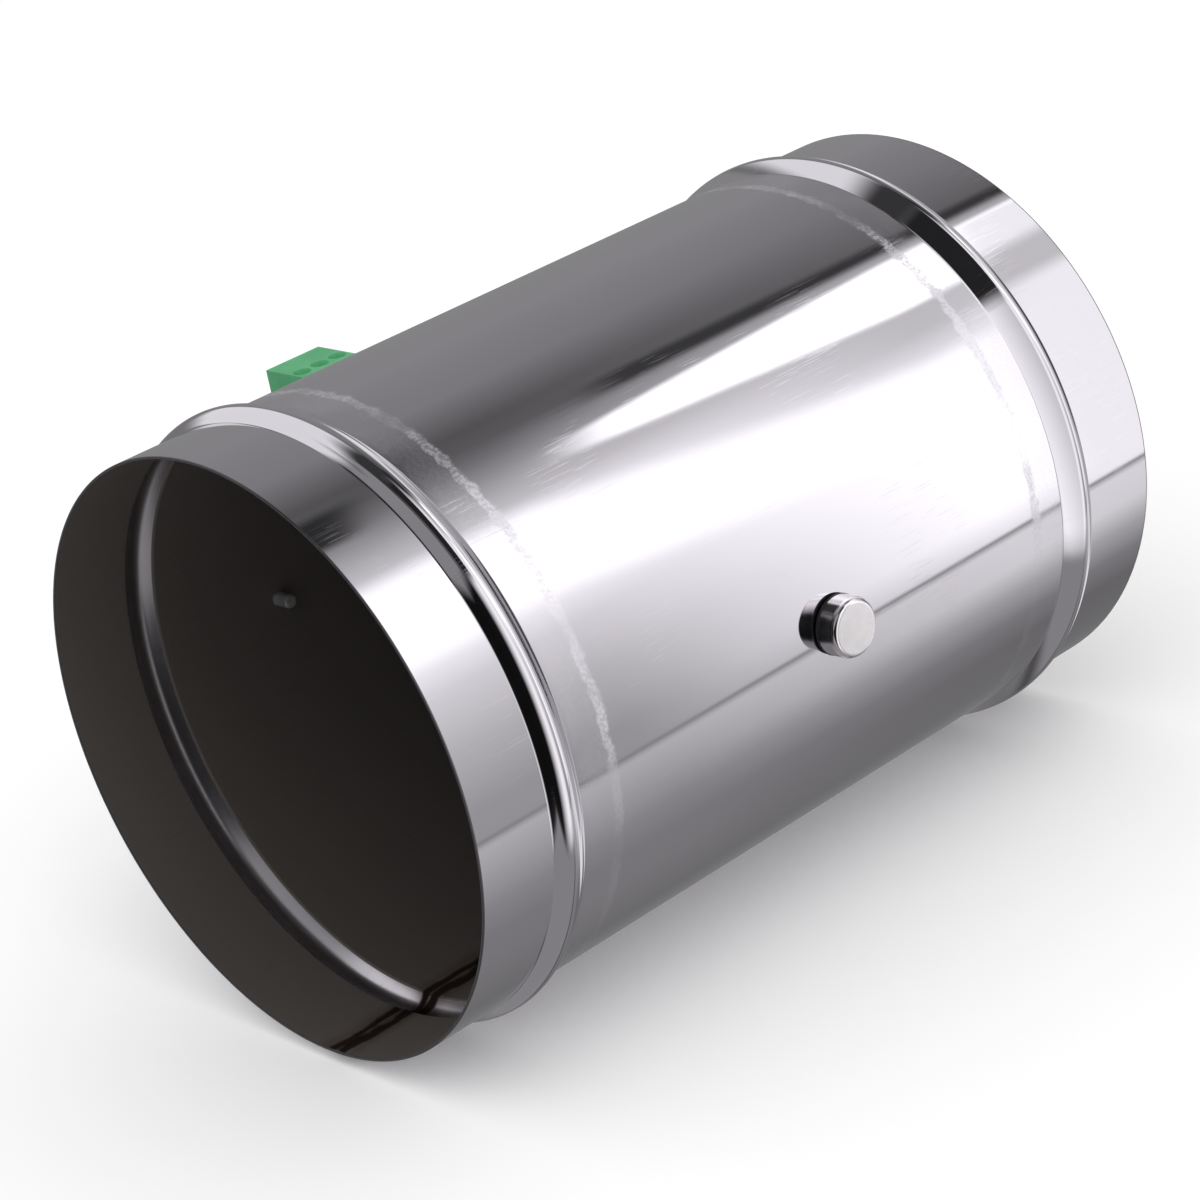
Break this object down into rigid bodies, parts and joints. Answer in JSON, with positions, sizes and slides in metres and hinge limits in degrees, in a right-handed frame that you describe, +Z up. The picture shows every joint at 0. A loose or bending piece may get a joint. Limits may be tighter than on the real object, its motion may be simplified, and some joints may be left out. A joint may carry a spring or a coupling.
{
  "type": "motorized duct damper",
  "caption": "Round steel duct section with two beads, a sealed blade on a cross shaft, an idle bearing with cap and a geared motor drive with limit switches and a plug-in terminal.",
  "frame": {"origin": "centre of the duct at the inlet end, on the inlet spigot's axis", "axes": "+X along the duct from the inlet to the outlet end, +Y along the blade shaft towards the drive, +Z up"},
  "size_m": [0.19, 0.1843, 0.1294],
  "materials": {
    "stainless_steel": "bright annealed, fine scratches",
    "cap_steel": "pressed, lightly brushed face",
    "zinc_plated_steel": "zinc plated",
    "galvanised_sheet": "galvanised",
    "seal_rubber": "matt",
    "blade_rubber": "matt silicone",
    "bearing_plastic": "natural",
    "gear_plastic": "natural",
    "cam_plastic": "red",
    "plunger_plastic": "natural",
    "switch_plastic": "black",
    "brass_part": "bare",
    "dark_magnet": "ferrite",
    "copper_wire": "enamelled",
    "board_laminate": "solder resist",
    "component_plastic": "moulded",
    "terminal_green": "satin",
    "tinned_pin": "tinned",
    "lead_insulation": "flexible",
    "cover_plastic": "fine grain"
  },
  "bodies": {
    "housing": {"base_plate_screws": "zinc_plated_steel", "bearing_cap": "cap_steel", "bearing_collar": "stainless_steel", "board_components": "component_plastic", "board_screws": "zinc_plated_steel", "bracket_foot_screws": "zinc_plated_steel", "bracket_nuts": "zinc_plated_steel", "bracket_screws": "zinc_plated_steel", "cap_seal_ring": "seal_rubber", "circuit_board": "board_laminate", "coil_bobbin": "plunger_plastic", "coil_winding": "copper_wire", "cover_screws": "zinc_plated_steel", "drive_bearing_sleeve": "stainless_steel", "drive_bracket": "galvanised_sheet", "drive_bush": "bearing_plastic", "drive_cover": "cover_plastic", "duct_tube": "stainless_steel", "gearbox_base_plate": "galvanised_sheet", "gearbox_outer_plate": "galvanised_sheet", "gearbox_pillars": "zinc_plated_steel", "header_pins": "tinned_pin", "idle_bush": "bearing_plastic", "idler_axles": "stainless_steel", "limit_switch_closed": "switch_plastic", "limit_switch_open": "switch_plastic", "motor_can": "galvanised_sheet", "motor_front_plate": "galvanised_sheet", "motor_leads": "lead_insulation", "motor_screws": "zinc_plated_steel", "outer_plate_screws": "zinc_plated_steel", "saddle_pads": "seal_rubber", "shaft_seal_ring": "seal_rubber", "switch_contacts": "brass_part", "switch_leads": "lead_insulation", "switch_screws": "zinc_plated_steel", "terminal_header": "terminal_green"},
    "blade": {"blade_shaft": "stainless_steel", "blade_front_disc": "stainless_steel", "blade_seal_disc": "blade_rubber", "blade_rear_disc": "stainless_steel", "blade_strip": "stainless_steel", "blade_screws": "zinc_plated_steel", "blade_nuts": "zinc_plated_steel", "thrust_washer": "bearing_plastic", "output_gear": "gear_plastic", "shaft_clip": "zinc_plated_steel", "limit_cam": "cam_plastic"},
    "first_idler": {"first_idler_gear": "gear_plastic"},
    "second_idler": {"second_idler_gear": "gear_plastic"},
    "rotor": {"rotor_pinion": "brass_part", "rotor_axle": "stainless_steel", "rotor_magnet": "dark_magnet"},
    "closed_plunger": {"limit_plunger_closed": "plunger_plastic"},
    "open_plunger": {"limit_plunger_open": "plunger_plastic"},
    "plug": {"terminal_plug": "terminal_green", "plug_clamp_cages": "zinc_plated_steel", "plug_clamp_screws": "zinc_plated_steel"}
  },
  "joints": [
    {"name": "blade_turn", "type": "hinge", "parent": "housing", "child": "blade", "pos_m": [0.095, 0, 0], "axis": [0, 1, 0], "range_deg": [0, 90]},
    {"name": "first_idler_spin", "type": "hinge", "parent": "housing", "child": "first_idler", "pos_m": [0.08925, 0, -0.01579], "axis": [0, 1, 0], "range_deg": [-270, 0]},
    {"name": "second_idler_spin", "type": "hinge", "parent": "housing", "child": "second_idler", "pos_m": [0.10504, 0, -0.02153], "axis": [0, 1, 0], "range_deg": [0, 810]},
    {"name": "rotor_spin", "type": "hinge", "parent": "housing", "child": "rotor", "pos_m": [0.10249, 0, -0.00706], "axis": [0, 1, 0], "range_deg": [-2025, 0]},
    {"name": "closed_plunger_slide", "type": "slide", "parent": "housing", "child": "closed_plunger", "axis": [1, 0, 0], "range_m": [0, 0.0012]},
    {"name": "open_plunger_slide", "type": "slide", "parent": "housing", "child": "open_plunger", "axis": [1, 0, 0], "range_m": [0, 0.0012]},
    {"name": "plug_pull", "type": "slide", "parent": "housing", "child": "plug", "axis": [0, 0, 1], "range_m": [0, 0.012]}
  ],
  "couplings": [
    {"joint": "first_idler_spin", "follows": "blade_turn", "ratio": -3},
    {"joint": "second_idler_spin", "follows": "blade_turn", "ratio": 9},
    {"joint": "rotor_spin", "follows": "blade_turn", "ratio": -22.5},
    {"joint": "closed_plunger_slide", "follows": "blade_turn", "m_per_rad": 0.00076394},
    {"joint": "open_plunger_slide", "follows": "blade_turn", "m_per_rad": 0.00076394}
  ]
}
